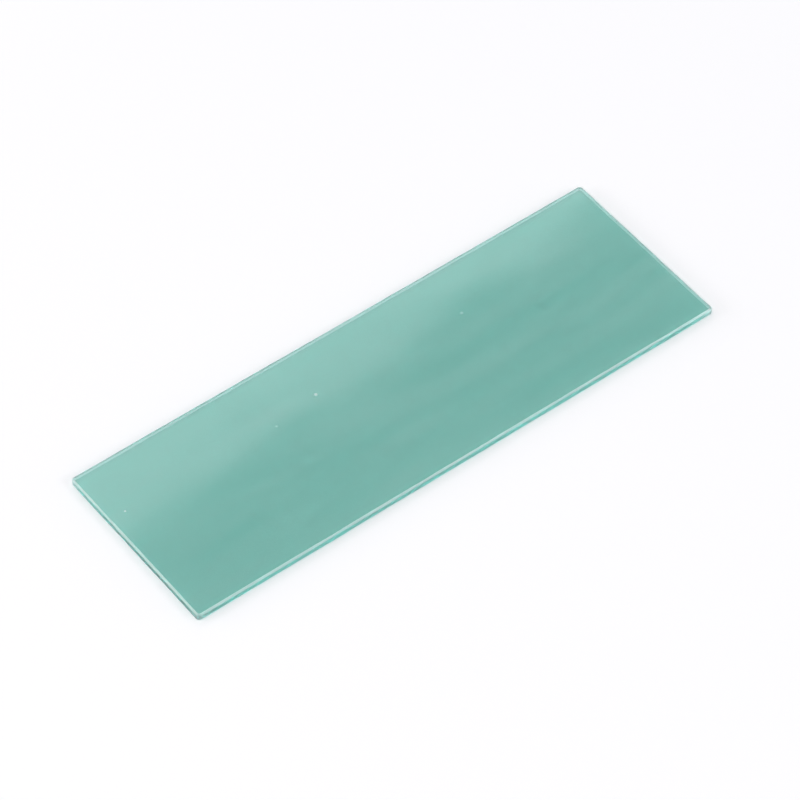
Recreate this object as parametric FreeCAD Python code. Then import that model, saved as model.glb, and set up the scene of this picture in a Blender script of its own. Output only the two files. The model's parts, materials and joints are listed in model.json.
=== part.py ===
"""Plain glass microscope slide with ground edges, in the one piece of glass that it is.

The blank is cut from drawn sheet glass, so its two large faces are flat and parallel. All four
edges are then ground. A flat wheel leaves the land, the upright band down the middle of an edge.
Two angled wheels take off the sharp corner on each side of the land and leave a narrow 45 degree
seam, the arris. The four corners are dubbed off to a small radius in plan, and the same seams
run on round them. No wheel leaves a knife edge, so a seam meets the land and the face beside it
by a small rounding.

The slide lies flat, as it comes to rest. X runs along its length, Y across it and Z up through
the glass, and the origin is the middle of the face that it lies on. Sizes are in millimetres.
"""

import FreeCAD
import Part

import os

# Driving dimensions
slide_length = 76.2  # 3 inches, along X
slide_width = 25.4  # 1 inch, along Y
glass_thickness = 1.1  # the middle of the 1.0 to 1.2 that plain slides are sold in
corner_radius = 0.55  # a dubbed corner, seen from above
seam_width = 0.2  # each leg of a 45 degree seam: how far it reaches in, and up or down
edge_rounding = 0.04  # radius where a seam meets the land or a face

# An edge is level, so it runs round the slide, if it rises by less than this
level_tolerance = 0.001

quarter_turn = 90  # degrees
up = FreeCAD.Vector(0, 0, 1)


def rounded_outline(length, width, radius):
    """Closed wire in the XY plane: a rectangle centred on the origin, with rounded corners."""
    reach_x = length / 2 - radius
    reach_y = width / 2 - radius
    arc_centres = [(reach_x, reach_y), (-reach_x, reach_y), (-reach_x, -reach_y), (reach_x, -reach_y)]
    arcs = []
    for turn, (centre_x, centre_y) in enumerate(arc_centres):
        centre = FreeCAD.Vector(centre_x, centre_y, 0)
        start = turn * quarter_turn
        arcs.append(Part.makeCircle(radius, centre, up, start, start + quarter_turn))
    edges = []
    for arc, next_arc in zip(arcs, arcs[1:] + arcs[:1]):
        edges.append(arc)
        edges.append(Part.makeLine(arc.Vertexes[-1].Point, next_arc.Vertexes[0].Point))
    return Part.Wire(edges)


def cut_blank():
    """The piece cut from the sheet, with dubbed corners and edges that are still square."""
    outline = rounded_outline(slide_length, slide_width, corner_radius)
    return Part.Face(outline).extrude(up * glass_thickness)


def edges_round_slide(solid):
    """The edges that run round the slide at one height, which are those that a wheel follows."""
    return [edge for edge in solid.Edges if edge.BoundBox.ZLength < level_tolerance]


def grind_edges(blank):
    """The blank with a 45 degree seam along both sides of its edges, and each seam eased."""
    seamed = blank.makeChamfer(seam_width, edges_round_slide(blank))
    eased = seamed.makeFillet(edge_rounding, edges_round_slide(seamed))
    return eased.Solids[0]


glass_slide = grind_edges(cut_blank())

os.makedirs("parts", exist_ok=True)
glass_slide.exportStep("parts/glass_slide.step")
print(f"glass_slide: {glass_slide.Volume:.1f} cubic mm, {len(glass_slide.Faces)} faces")
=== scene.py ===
import json
import math

import bpy
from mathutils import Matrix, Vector


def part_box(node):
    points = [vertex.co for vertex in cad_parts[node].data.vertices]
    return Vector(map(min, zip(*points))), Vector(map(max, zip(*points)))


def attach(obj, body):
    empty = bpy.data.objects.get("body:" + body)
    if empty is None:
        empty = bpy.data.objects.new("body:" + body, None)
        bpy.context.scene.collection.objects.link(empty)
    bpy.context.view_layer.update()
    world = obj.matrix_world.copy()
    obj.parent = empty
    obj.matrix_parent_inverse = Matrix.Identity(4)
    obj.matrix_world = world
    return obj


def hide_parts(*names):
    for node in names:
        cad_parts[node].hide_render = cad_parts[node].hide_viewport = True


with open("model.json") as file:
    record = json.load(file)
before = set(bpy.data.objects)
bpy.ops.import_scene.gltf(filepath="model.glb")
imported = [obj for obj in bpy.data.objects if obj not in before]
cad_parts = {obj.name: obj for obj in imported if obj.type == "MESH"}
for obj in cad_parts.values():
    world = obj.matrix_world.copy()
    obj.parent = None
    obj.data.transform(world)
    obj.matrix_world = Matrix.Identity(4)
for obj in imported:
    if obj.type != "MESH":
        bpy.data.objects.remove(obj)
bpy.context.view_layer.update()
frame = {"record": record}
slideLow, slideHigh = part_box("glass_slide")
slideSize = slideHigh - slideLow
glassSlot = frame["record"]["materials"][0]["slot"]
mm = 0.001
noiseSpan = (0.3, 0.7)  # where nearly all the values of a noise lie
noiseDetail = {"smooth": 1.0, "plain": 2.0, "fine": 3.0}

scene = bpy.context.scene
scene.view_settings.view_transform = "Standard"
scene.cycles.max_bounces = 96  # light zigzags a long way inside a thin plate before it gets out
scene.cycles.transmission_bounces = 80
scene.cycles.glossy_bounces = 80


def addNode(tree, kind, inputs=None, **settings):
    node = tree.nodes.new(kind)
    for name, value in settings.items():
        setattr(node, name, value)
    for socket, value in (inputs or {}).items():
        if isinstance(value, bpy.types.NodeSocket):
            tree.links.new(value, node.inputs[socket])
        else:
            node.inputs[socket].default_value = value
    return node


def calc(tree, operation, first, second=0.0, clamp=False):
    node = addNode(tree, "ShaderNodeMath", {0: first, 1: second}, operation=operation, use_clamp=clamp)
    return node.outputs[0]


def product(tree, first, *others):
    for other in others:
        first = calc(tree, "MULTIPLY", first, other)
    return first


def fit(tree, value, fromLow, fromHigh, toLow=0.0, toHigh=1.0, smooth=False):
    inputs = {0: value, 1: fromLow, 2: fromHigh, 3: toLow, 4: toHigh}
    kind = "SMOOTHSTEP" if smooth else "LINEAR"
    return addNode(tree, "ShaderNodeMapRange", inputs, interpolation_type=kind).outputs[0]


def vectorCalc(tree, operation, first, second):
    node = addNode(tree, "ShaderNodeVectorMath", {0: first, 1: second}, operation=operation)
    return node.outputs["Value" if operation == "DISTANCE" else "Vector"]


def vectorFrom(tree, x=0.0, y=0.0, z=0.0):
    return addNode(tree, "ShaderNodeCombineXYZ", {0: x, 1: y, 2: z}).outputs[0]


def axisOf(tree, vector, axis):
    return addNode(tree, "ShaderNodeSeparateXYZ", {0: vector}).outputs[axis]


def noise(tree, vector, size, seed, detail="plain"):
    inputs = {
        "Vector": vector,
        "W": seed,
        "Scale": calc(tree, "DIVIDE", 1.0, size),
        "Detail": noiseDetail[detail],
    }
    return addNode(tree, "ShaderNodeTexNoise", inputs, noise_dimensions="4D").outputs["Fac"]


def blend(tree, share, first, second):
    # a Mix node keeps its two colours at 6 and 7, and puts the mixed colour out at 2
    return addNode(tree, "ShaderNodeMix", {0: share, 6: first, 7: second}, data_type="RGBA").outputs[2]


# Camera

view = {
    "azimuth": -37.5,  # degrees round from the front, which puts the near short end at the left
    "elevation": 50,
    "distance": 0.5,
    "frameWidth": 0.0945,  # what the picture takes in at the slide, in metres
    "aim": (0.0, -0.0005, 0.0),  # just in front of the slide's middle
    "sensor": 36,
    "clip": (0.01, 20),
}


def direction(azimuth, elevation):
    turn = math.radians(azimuth)
    rise = math.radians(elevation)
    return Vector((math.sin(turn) * math.cos(rise), -math.cos(turn) * math.cos(rise), math.sin(rise)))


def makeCamera():
    away = direction(view["azimuth"], view["elevation"])
    data = bpy.data.cameras.new("camera")
    data.sensor_width = view["sensor"]
    data.lens = view["sensor"] * view["distance"] / view["frameWidth"]
    data.clip_start, data.clip_end = view["clip"]
    camera = bpy.data.objects.new("camera", data)
    camera.location = Vector(view["aim"]) + away * view["distance"]
    camera.rotation_euler = away.to_track_quat("Z", "Y").to_euler()
    scene.collection.objects.link(camera)
    scene.camera = camera


makeCamera()
print("camera ready")


# Glass: one material for the polished faces and the ground edges, because they close one solid

glass = {
    "ior": 1.52,
    "tint": (0.325, 0.632, 0.582, 1),  # what a slide lets through from face to face
    "landTint": (0.34, 0.87, 0.79, 1),  # adds to the colour of the length of glass behind the edges
    "frostAndPaintedHighlightTint": (0.84, 0.95, 0.95, 1),  # paler glass: on the seams partly frost and partly a painted highlight of their lit arris, on the dubbed corners a painted highlight, and on the specks dust
    "density": 34.0,  # how fast red goes along the glass, per metre
    "keeps": (0.0, 0.88, 0.835, 1),  # what the length of the glass spares of each colour
    "polish": (0.04, 0.07),  # roughness of the faces
    "polishPatch": 9 * mm,
    "grind": (0.42, 0.6),  # roughness that the wheels leave on the edges
    "gritSize": 0.14 * mm,
    "gritHeight": 0.006 * mm,
    "lineLength": 2.5 * mm,  # the wheels' scratches run along the edges
    "lineWidth": 0.09 * mm,
    "landFrost": 0.4,  # how white the ground surfaces are
    "seamFrost": 0.95,
    "frostPatch": 3 * mm,
    "frostWear": (0.65, 1.0),
    "frostRoughness": 0.5,
    "frostIor": 2.6,
    "haze": (0.0, 0.15),  # faint wipe marks on the faces
    "hazeSize": (16 * mm, 2.5 * mm),
    "hazeTurn": 24,  # degrees from the long edges
    "speckPitch": 7 * mm,
    "speckSize": 0.22 * mm,
    "speckShare": 0.05,  # of the places where a speck could lie
    "speckRoughness": 0.4,
    "faceShift": 20.0,  # moves the upper face's specks away from the lower face's
    "seeds": {"grit": 1, "frost": 2, "lines": 4, "polish": 5, "haze": 6},
}


def readAttribute(tree, name):
    return addNode(tree, "ShaderNodeAttribute", attribute_name=name).outputs["Fac"]


def makeSpecks(tree, place):
    height = axisOf(tree, place, "Z")
    aside = vectorFrom(tree, product(tree, height, glass["faceShift"]))
    cells = addNode(tree, "ShaderNodeTexVoronoi", {
        "Vector": vectorCalc(tree, "ADD", place, aside),
        "Scale": 1 / glass["speckPitch"],
    }, voronoi_dimensions="2D")
    away = product(tree, cells.outputs["Distance"], glass["speckPitch"])
    luck = axisOf(tree, cells.outputs["Color"], "X")
    radius = product(tree, fit(tree, luck, 1 - glass["speckShare"], 1.0), glass["speckSize"])
    return calc(tree, "LESS_THAN", away, radius)


def makeHaze(tree, place):
    length, width = glass["hazeSize"]
    wiped = addNode(tree, "ShaderNodeMapping", {
        "Vector": place,
        "Rotation": (0, 0, math.radians(glass["hazeTurn"])),
        "Scale": (width / length, 1, 1),
    }, vector_type="POINT").outputs[0]
    return fit(tree, noise(tree, wiped, width, glass["seeds"]["haze"]), *noiseSpan, *glass["haze"])


def makeGlass():
    material = bpy.data.materials.new(glassSlot)
    material.use_nodes = True
    tree = material.node_tree
    tree.nodes.clear()
    seeds = glass["seeds"]
    place = addNode(tree, "ShaderNodeTexCoord").outputs["Object"]
    ground = readAttribute(tree, "ground")
    seam = readAttribute(tree, "seam")
    lengthways = product(tree, readAttribute(tree, "run"), glass["lineWidth"] / glass["lineLength"])
    along = vectorFrom(tree, lengthways, axisOf(tree, place, "Z"), readAttribute(tree, "inset"))
    lines = noise(tree, along, glass["lineWidth"], seeds["lines"], "fine")
    grit = noise(tree, place, glass["gritSize"], seeds["grit"], "fine")
    speck = makeSpecks(tree, place)

    polishPatch = noise(tree, place, glass["polishPatch"], seeds["polish"])
    polish = fit(tree, polishPatch, *noiseSpan, *glass["polish"])
    grind = product(tree, ground, fit(tree, grit, *noiseSpan, *glass["grind"]))
    dust = product(tree, speck, glass["speckRoughness"])
    roughness = calc(tree, "ADD", calc(tree, "MAXIMUM", polish, grind), dust, clamp=True)

    frostPatch = noise(tree, place, glass["frostPatch"], seeds["frost"])
    wear = fit(tree, frostPatch, *noiseSpan, *glass["frostWear"])
    streak = fit(tree, lines, *noiseSpan, *glass["frostWear"])
    white = fit(tree, seam, 0.0, 1.0, glass["landFrost"], glass["seamFrost"])
    frost = product(tree, ground, white, wear, streak)
    coat = calc(tree, "MAXIMUM", calc(tree, "MAXIMUM", frost, speck), makeHaze(tree, place))

    # the seams' paler colour is partly frost and partly a painted highlight, the corners' is a painted
    # highlight, and the specks' is dust
    groundTintWithPaintedHighlight = blend(tree, calc(tree, "MAXIMUM", seam, speck), glass["landTint"], glass["frostAndPaintedHighlightTint"])
    tint = blend(tree, calc(tree, "MAXIMUM", ground, speck), glass["tint"], groundTintWithPaintedHighlight)
    bump = addNode(tree, "ShaderNodeBump", {
        "Height": product(tree, ground, calc(tree, "ADD", grit, lines)),
        "Distance": glass["gritHeight"],
    })
    shader = addNode(tree, "ShaderNodeBsdfPrincipled", {
        "Base Color": tint,
        "Roughness": roughness,
        "IOR": glass["ior"],
        "Transmission Weight": 1.0,
        "Coat Weight": coat,
        "Coat Roughness": glass["frostRoughness"],
        "Coat IOR": glass["frostIor"],
        "Normal": bump.outputs[0],
    })
    depth = addNode(tree, "ShaderNodeVolumeAbsorption", {
        "Color": glass["keeps"],
        "Density": glass["density"],
    })
    addNode(tree, "ShaderNodeOutputMaterial", {"Surface": shader.outputs[0], "Volume": depth.outputs[0]})
    return material


# Slide: the ground edge's section is swept round the outline, and the two faces are filled in

slide = {
    "Length": slideSize.x,
    "Width": slideSize.y,
    "Thickness": slideSize.z,
    "Corner Radius": 0.55 * mm,
    "Corner Steps": 16,
    "Seam Width": 0.2 * mm,
    "Edge Rounding": 0.04 * mm,
    "Rounding Steps": 4,
    "Face Margin": 0.4 * mm,  # how far in from the edge the flat face is joined on
    "Step": 0.12 * mm,  # along the edges
    "Row": 0.08 * mm,  # across them
    "Weld": 0.001 * mm,
    "Stray": 0.06 * mm,  # how much wider a seam gets where the wheel strays
    "Stray Length": 5 * mm,
    "Chip Depth": 0.08 * mm,
    "Chip Size": 0.3 * mm,
    "Chip Start": 0.66,  # a chip is where the noise is over this
    "Chip Full": 0.8,
    "Wave Height": 0.014 * mm,  # drawn glass is never quite flat
    "Wave Length": 16 * mm,
    "Wave Pitch": 1.2 * mm,
    "Polish Depth": 0.006 * mm,  # how far below a face the ground surface starts
    "Land Border": 0.03 * mm,  # how far in from the land the seam's whiteness, partly frost and partly painted highlight, is full
    "Corner Highlight Fade": 1.6 * mm,  # how far along an edge the painted highlight on a dubbed corner goes
    "Seed": 7,
}

socketKinds = {float: "NodeSocketFloat", int: "NodeSocketInt", bpy.types.Material: "NodeSocketMaterial"}


def makeInterface(tree, values):
    for name, value in values.items():
        tree.interface.new_socket(name, in_out="INPUT", socket_type=socketKinds[type(value)])
    tree.interface.new_socket("Slide", in_out="OUTPUT", socket_type="NodeSocketGeometry")


def store(tree, geometry, name, value, kind="FLOAT"):
    inputs = {"Geometry": geometry, "Name": name, "Value": value}
    return addNode(tree, "GeometryNodeStoreNamedAttribute", inputs, data_type=kind, domain="POINT").outputs[0]


def recall(tree, name, kind="FLOAT"):
    return addNode(tree, "GeometryNodeInputNamedAttribute", {"Name": name}, data_type=kind).outputs[0]


def joinGeometry(tree, *geometries):
    node = addNode(tree, "GeometryNodeJoinGeometry")
    for geometry in geometries:
        tree.links.new(geometry, node.inputs[0])
    return node.outputs[0]


def shift(tree, geometry, offset):
    return addNode(tree, "GeometryNodeSetPosition", {"Geometry": geometry, "Offset": offset}).outputs[0]


def fillet(tree, curve, steps, radius):
    inputs = {"Curve": curve, "Count": steps, "Radius": radius}
    return addNode(tree, "GeometryNodeFilletCurve", inputs, mode="POLY").outputs[0]


def makeOutline(tree, sizes):
    box = addNode(tree, "GeometryNodeCurvePrimitiveQuadrilateral", {
        "Width": sizes["Length"],
        "Height": sizes["Width"],
    }).outputs[0]
    rounded = fillet(tree, box, sizes["Corner Steps"], sizes["Corner Radius"])
    steps = {"Curve": rounded, "Length": sizes["Step"]}
    even = addNode(tree, "GeometryNodeResampleCurve", steps, mode="LENGTH").outputs[0]
    level = addNode(tree, "GeometryNodeSetCurveNormal", {"Curve": even}, mode="Z_UP").outputs[0]
    measured = store(tree, level, "run", addNode(tree, "GeometryNodeSplineParameter").outputs["Length"])
    outwards = addNode(tree, "GeometryNodeInputNormal").outputs[0]
    return store(tree, measured, "outwards", outwards, "FLOAT_VECTOR")


def makeSection(tree, sizes):
    thickness, seam, margin = sizes["Thickness"], sizes["Seam Width"], sizes["Face Margin"]
    upper = calc(tree, "SUBTRACT", thickness, seam)
    corners = [(margin, 0.0), (seam, 0.0), (0.0, seam), (0.0, upper), (seam, thickness), (margin, thickness)]
    index = addNode(tree, "GeometryNodeInputIndex").outputs[0]
    pick = addNode(tree, "GeometryNodeIndexSwitch", data_type="VECTOR")
    tree.links.new(index, pick.inputs["Index"])
    while len(pick.index_switch_items) < len(corners):
        pick.index_switch_items.new()
    for number, (inset, height) in enumerate(corners):
        # the sweep turns a section's X outwards and its Y downwards
        point = vectorFrom(tree, product(tree, inset, -1.0), product(tree, height, -1.0))
        tree.links.new(point, pick.inputs[str(number)])
    line = addNode(tree, "GeometryNodeMeshLine", {"Count": len(corners)}).outputs[0]
    placed = addNode(tree, "GeometryNodeSetPosition", {"Geometry": line, "Position": pick.outputs[0]})
    curve = addNode(tree, "GeometryNodeMeshToCurve", {"Mesh": placed.outputs[0]}).outputs[0]
    eased = fillet(tree, curve, sizes["Rounding Steps"], sizes["Edge Rounding"])

    here = addNode(tree, "GeometryNodeInputPosition").outputs[0]
    after = addNode(tree, "GeometryNodeFieldAtIndex", {
        "Index": calc(tree, "ADD", index, 1.0),
        "Value": here,
    }, data_type="FLOAT_VECTOR").outputs[0]
    gap = vectorCalc(tree, "DISTANCE", here, after)
    cuts = calc(tree, "FLOOR", calc(tree, "DIVIDE", gap, sizes["Row"]))
    rows = addNode(tree, "GeometryNodeSubdivideCurve", {"Curve": eased, "Cuts": cuts}).outputs[0]
    return store(tree, rows, "inset", product(tree, axisOf(tree, here, "X"), -1.0))


def grindSeams(tree, sizes, edge, aboveMiddle, half):
    # a seam is wider where the wheel strays, and where its arris has chipped
    place = addNode(tree, "GeometryNodeInputPosition").outputs[0]
    slow = noise(tree, place, sizes["Stray Length"], sizes["Seed"])
    quick = noise(tree, place, sizes["Chip Size"], sizes["Seed"], "smooth")
    stray = product(tree, fit(tree, slow, *noiseSpan), sizes["Stray"])
    chip = product(tree, fit(tree, quick, sizes["Chip Start"], sizes["Chip Full"]), sizes["Chip Depth"])
    reach = calc(tree, "ADD", sizes["Seam Width"], calc(tree, "ADD", stray, chip))
    toFace = calc(tree, "SUBTRACT", half, calc(tree, "ABSOLUTE", aboveMiddle))
    over = calc(tree, "SUBTRACT", reach, calc(tree, "ADD", recall(tree, "inset"), toFace))
    # a point that is over the seam comes down to it, half of the way inwards and half towards mid-height
    edge = store(tree, edge, "cut", product(tree, calc(tree, "MAXIMUM", over, 0.0), 0.5))

    cut = recall(tree, "cut")
    outwards = recall(tree, "outwards", "FLOAT_VECTOR")
    upwards = vectorFrom(tree, z=calc(tree, "SIGN", aboveMiddle))
    normal = vectorCalc(tree, "ADD", outwards, upwards)
    back = product(tree, cut, -1.0)
    moved = shift(tree, edge, vectorCalc(tree, "MULTIPLY", normal, vectorFrom(tree, back, back, back)))
    edge = store(tree, moved, "inset", calc(tree, "ADD", recall(tree, "inset"), cut))
    for name in ("cut", "outwards"):
        edge = addNode(tree, "GeometryNodeRemoveAttribute", {"Geometry": edge, "Name": name}).outputs[0]
    return edge


def pickBorder(tree):
    sides = addNode(tree, "GeometryNodeInputMeshEdgeNeighbors").outputs[0]
    single = addNode(tree, "FunctionNodeCompare", {"A": sides, "B": 1}, data_type="INT", operation="EQUAL")
    return single.outputs[0]


def makeFace(tree, sizes, edge, aboveMiddle):
    # a grid, with a strip of triangles from its border out to the rim of the edge
    above = calc(tree, "GREATER_THAN", aboveMiddle, 0.0)
    upper = addNode(tree, "FunctionNodeBooleanMath", {0: pickBorder(tree), 1: above}, operation="AND")
    rim = addNode(tree, "GeometryNodeMeshToCurve", {"Mesh": edge, "Selection": upper.outputs[0]}).outputs[0]
    border = product(tree, sizes["Wave Pitch"], 2.0)  # one pitch on each side
    length = calc(tree, "SUBTRACT", sizes["Length"], border)
    width = calc(tree, "SUBTRACT", sizes["Width"], border)
    grid = addNode(tree, "GeometryNodeMeshGrid", {
        "Size X": length,
        "Size Y": width,
        "Vertices X": calc(tree, "DIVIDE", length, sizes["Wave Pitch"]),
        "Vertices Y": calc(tree, "DIVIDE", width, sizes["Wave Pitch"]),
    }).outputs[0]
    inner = addNode(tree, "GeometryNodeMeshToCurve", {"Mesh": grid, "Selection": pickBorder(tree)}).outputs[0]
    loops = joinGeometry(tree, rim, inner)
    strip = addNode(tree, "GeometryNodeFillCurve", {"Curve": loops}, mode="TRIANGLES").outputs[0]
    return joinGeometry(tree, strip, grid)


def nearCorner(tree, sizes, place):
    # 1 in the square that a corner's curve fills, and less the further a point is from it; it marks a painted
    # highlight on the dubbed corners
    beyond = []
    for axis, size in (("X", sizes["Length"]), ("Y", sizes["Width"])):
        straight = calc(tree, "SUBTRACT", product(tree, size, 0.5), sizes["Corner Radius"])
        beyond.append(calc(tree, "SUBTRACT", calc(tree, "ABSOLUTE", axisOf(tree, place, axis)), straight))
    return fit(tree, calc(tree, "MINIMUM", *beyond), product(tree, sizes["Corner Highlight Fade"], -1.0), 0.0)


def waveFaces(tree, sizes, geometry, aboveMiddle, half):
    # each face is hollowed a little, by nothing at the middle of the edge and by all of it at the face
    place = addNode(tree, "GeometryNodeInputPosition").outputs[0]
    seed = calc(tree, "ADD", sizes["Seed"], calc(tree, "GREATER_THAN", aboveMiddle, 0.0))
    flat = vectorCalc(tree, "MULTIPLY", place, (1, 1, 0))
    waves = noise(tree, flat, sizes["Wave Length"], seed, "smooth")
    hollow = fit(tree, waves, *noiseSpan, smooth=True)
    share = calc(tree, "DIVIDE", aboveMiddle, half)
    lower = product(tree, hollow, sizes["Wave Height"], share, -1.0)
    return shift(tree, geometry, vectorFrom(tree, z=lower))


def makeSlideTree(values):
    tree = bpy.data.node_groups.new("groundSlide", "GeometryNodeTree")
    makeInterface(tree, values)
    sizes = addNode(tree, "NodeGroupInput").outputs
    half = product(tree, sizes["Thickness"], 0.5)
    place = addNode(tree, "GeometryNodeInputPosition").outputs[0]
    aboveMiddle = calc(tree, "SUBTRACT", axisOf(tree, place, "Z"), half)

    sweep = addNode(tree, "GeometryNodeCurveToMesh", {
        "Curve": makeOutline(tree, sizes),
        "Profile Curve": makeSection(tree, sizes),
    }).outputs[0]
    outwards = addNode(tree, "GeometryNodeFlipFaces", {"Mesh": sweep}).outputs[0]
    edge = grindSeams(tree, sizes, outwards, aboveMiddle, half)
    face = makeFace(tree, sizes, edge, aboveMiddle)
    top = shift(tree, face, vectorFrom(tree, z=sizes["Thickness"]))
    bottom = addNode(tree, "GeometryNodeFlipFaces", {"Mesh": face}).outputs[0]
    whole = addNode(tree, "GeometryNodeMergeByDistance", {
        "Geometry": joinGeometry(tree, bottom, top, edge),
        "Distance": sizes["Weld"],
    }).outputs[0]

    grindStart = calc(tree, "SUBTRACT", half, sizes["Polish Depth"])
    ground = fit(tree, calc(tree, "ABSOLUTE", aboveMiddle), half, grindStart)
    marked = store(tree, whole, "ground", ground)
    offLand = fit(tree, recall(tree, "inset"), 0.0, sizes["Land Border"])
    # the seam mark also takes in the dubbed corners, which a painted highlight whitens
    seamAndCornerHighlight = calc(tree, "MAXIMUM", offLand, nearCorner(tree, sizes, place))
    marked = store(tree, marked, "seam", product(tree, recall(tree, "ground"), seamAndCornerHighlight))
    waved = waveFaces(tree, sizes, marked, aboveMiddle, half)
    smooth = addNode(tree, "GeometryNodeSetShadeSmooth", {"Geometry": waved}).outputs[0]
    real = addNode(tree, "GeometryNodeRealizeInstances", {"Geometry": smooth}).outputs[0]
    finished = addNode(tree, "GeometryNodeSetMaterial", {"Geometry": real, "Material": sizes["Glass"]})
    addNode(tree, "NodeGroupOutput", {0: finished.outputs[0]})
    return tree


def makeFromTree(name, tree, values):
    holder = bpy.data.objects.new(name + "Maker", bpy.data.meshes.new(name + "Maker"))
    scene.collection.objects.link(holder)
    modifier = holder.modifiers.new("maker", "NODES")
    modifier.node_group = tree
    for item in tree.interface.items_tree:
        if item.in_out == "INPUT":
            modifier[item.identifier] = values[item.name]
    evaluated = holder.evaluated_get(bpy.context.evaluated_depsgraph_get())
    mesh = bpy.data.meshes.new_from_object(evaluated)
    mesh.name = name
    holder.modifiers.remove(modifier)
    bpy.data.objects.remove(holder)
    piece = bpy.data.objects.new(name, mesh)
    scene.collection.objects.link(piece)
    return piece


slideMap = {
    "name": "OFBake",  # the map for the slide's finish
    "level": 0.98,  # a face is where the normal is steeper than this
    "sides": {  # the axes across and up a side, then its left, bottom, width and height on the map
        "bottom": ("xy", 0.99, 0.01, -0.98, 0.3),  # a negative width keeps a side from mirroring
        "top": ("xy", 0.01, 0.33, 0.98, 0.3),
        "front": ("xz", 0.01, 0.66, 0.98, 0.1),
        "back": ("xz", 0.99, 0.77, -0.98, 0.1),
        "left": ("yz", 0.49, 0.88, -0.48, 0.1),
        "right": ("yz", 0.51, 0.88, 0.48, 0.1),
    },
}


def sideOf(polygon):
    middle, normal = polygon.center, polygon.normal
    if abs(normal.z) > slideMap["level"]:
        return "top" if normal.z > 0 else "bottom"
    toEnd = slideSize.x / 2 - abs(middle.x)
    toLongSide = slideSize.y / 2 - abs(middle.y)
    if toEnd < toLongSide:
        return "right" if middle.x > 0 else "left"
    return "back" if middle.y > 0 else "front"


def layMap(mesh):
    # each side of the slide is seen square on, in a rectangle of its own
    corners = mesh.uv_layers.new(name=slideMap["name"]).uv
    for polygon in mesh.polygons:
        axes, left, bottom, width, height = slideMap["sides"][sideOf(polygon)]
        for corner, vertex in zip(polygon.loop_indices, polygon.vertices):
            place = mesh.vertices[vertex].co - slideLow
            across, up = (getattr(place, axis) / getattr(slideSize, axis) for axis in axes)
            corners[corner].vector = (left + across * width, bottom + up * height)


def makeSlide():
    values = {**slide, "Glass": makeGlass()}
    print("glass ready")
    piece = makeFromTree("slide", makeSlideTree(values), values)
    layMap(piece.data)
    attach(piece, "root")
    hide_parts("glass_slide")
    return piece


slidePiece = makeSlide()
print("slide ready:", len(slidePiece.data.polygons), "faces")


# Floor, light and surroundings

studio = {
    "floorSize": 6.0,
    "floorDrop": 0.03 * mm,  # keeps the floor clear of the glass that lies on it
    "floorColor": (0.86, 0.86, 0.86, 1),
    "nearGlow": 0.175,  # makes up what the paper is short of white
    "farGlow": 0.6,
    "glowReach": (0.07, 0.3),
    "fillColor": (0.95, 0.94, 1.0, 1),
    "fillStrength": 0.5,
    "backBorder": (0.0, 0.005),  # where on the slide the back light's reflection starts
    "backTurn": 5,  # degrees, which narrows the reflection to the right
    "backHeight": 0.77,
    "backSize": (1.0, 0.35),
    "backBrightness": 1.5,
    "lampDistance": 0.9,
    "lamps": {  # azimuth and elevation in degrees, width and height in metres, brightness
        "seamLight": (27, 34, 0.44, 0.2, 5.0),
        "endLight": (-108, 22, 0.26, 0.22, 5.0),
        "frontLight": (48, 7, 0.7, 0.22, 1.5),
        "leftLight": (-132, 14, 0.6, 0.36, 1.9),
        "topLight": (-80, 70, 0.6, 0.6, 2.0),
    },
}


def seenByLens(tree):
    rays = addNode(tree, "ShaderNodeLightPath").outputs
    straight = calc(tree, "ADD", rays["Is Camera Ray"], rays["Is Glossy Ray"])
    return calc(tree, "ADD", straight, rays["Is Transmission Ray"], clamp=True)


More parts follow.
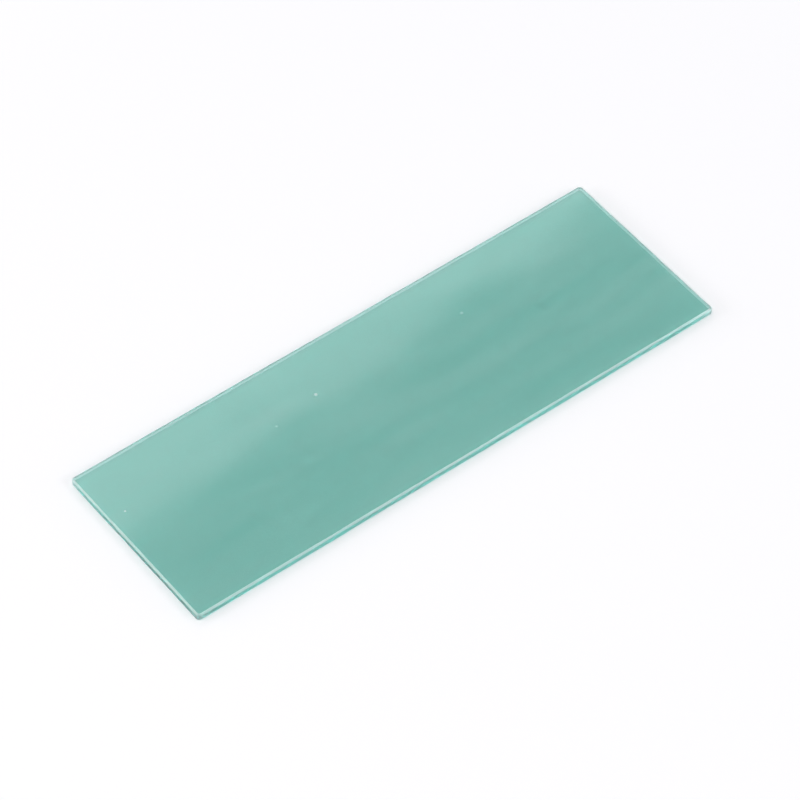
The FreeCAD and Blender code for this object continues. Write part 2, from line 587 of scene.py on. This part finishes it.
def makeFloor():
    material = bpy.data.materials.new("floor")
    material.use_nodes = True
    tree = material.node_tree
    tree.nodes.clear()
    place = addNode(tree, "ShaderNodeTexCoord").outputs["Object"]
    far = vectorCalc(tree, "DISTANCE", place, (0, 0, 0))
    glow = fit(tree, far, *studio["glowReach"], studio["nearGlow"], studio["farGlow"], smooth=True)
    paper = addNode(tree, "ShaderNodeBsdfDiffuse", {"Color": studio["floorColor"]})
    shine = addNode(tree, "ShaderNodeEmission", {"Strength": product(tree, seenByLens(tree), glow)})
    both = addNode(tree, "ShaderNodeAddShader", {0: paper.outputs[0], 1: shine.outputs[0]})
    addNode(tree, "ShaderNodeOutputMaterial", {"Surface": both.outputs[0]})
    half = studio["floorSize"] / 2
    level = slideLow.z - studio["floorDrop"]
    mesh = bpy.data.meshes.new("floor")
    corners = [(-half, -half, level), (half, -half, level), (half, half, level), (-half, half, level)]
    mesh.from_pydata(corners, [], [(0, 1, 2, 3)])
    mesh.materials.append(material)
    floor = bpy.data.objects.new("floor", mesh)
    scene.collection.objects.link(floor)


def makeWorld():
    world = bpy.data.worlds.new("world")
    scene.world = world
    world.use_nodes = True
    tree = world.node_tree
    tree.nodes.clear()
    fill = {"Color": studio["fillColor"], "Strength": studio["fillStrength"]}
    light = addNode(tree, "ShaderNodeBackground", fill).outputs[0]
    white = addNode(tree, "ShaderNodeBackground", {"Color": (1, 1, 1, 1), "Strength": 1.0}).outputs[0]
    mix = addNode(tree, "ShaderNodeMixShader", {0: seenByLens(tree), 1: light, 2: white})
    addNode(tree, "ShaderNodeOutputWorld", {"Surface": mix.outputs[0]})


def makeSoftbox(name, place, facing, width, height, brightness, turn=0):
    data = bpy.data.lights.new(name, "AREA")
    data.shape = "RECTANGLE"
    data.size, data.size_y = width, height
    data.energy = brightness * math.pi * width * height  # watts that make the box this bright to look at
    lamp = bpy.data.objects.new(name, data)
    lamp.location = place
    lamp.rotation_euler = facing.to_track_quat("Z", "Y").to_euler()
    lamp.rotation_euler.z += math.radians(turn)
    scene.collection.objects.link(lamp)


def mirrored(point, height):
    # where a lens ray that meets the top face at the point gets to at that height, once reflected
    lens = Vector(view["aim"]) + direction(view["azimuth"], view["elevation"]) * view["distance"]
    ray = point - lens
    ray.z = -ray.z
    return point + ray * ((height - point.z) / ray.z)


def makeLights():
    border = mirrored(Vector((*studio["backBorder"], slideHigh.z)), studio["backHeight"])
    width, depth = studio["backSize"]
    turn = math.radians(studio["backTurn"])
    middle = border + Vector((-math.sin(turn), math.cos(turn), 0)) * (depth / 2)
    up = Vector((0, 0, 1))
    makeSoftbox("backLight", middle, up, width, depth, studio["backBrightness"], studio["backTurn"])
    for name, (azimuth, elevation, width, height, brightness) in studio["lamps"].items():
        away = direction(azimuth, elevation)
        makeSoftbox(name, away * studio["lampDistance"], away, width, height, brightness)


makeFloor()
makeWorld()
makeLights()
print("studio ready")
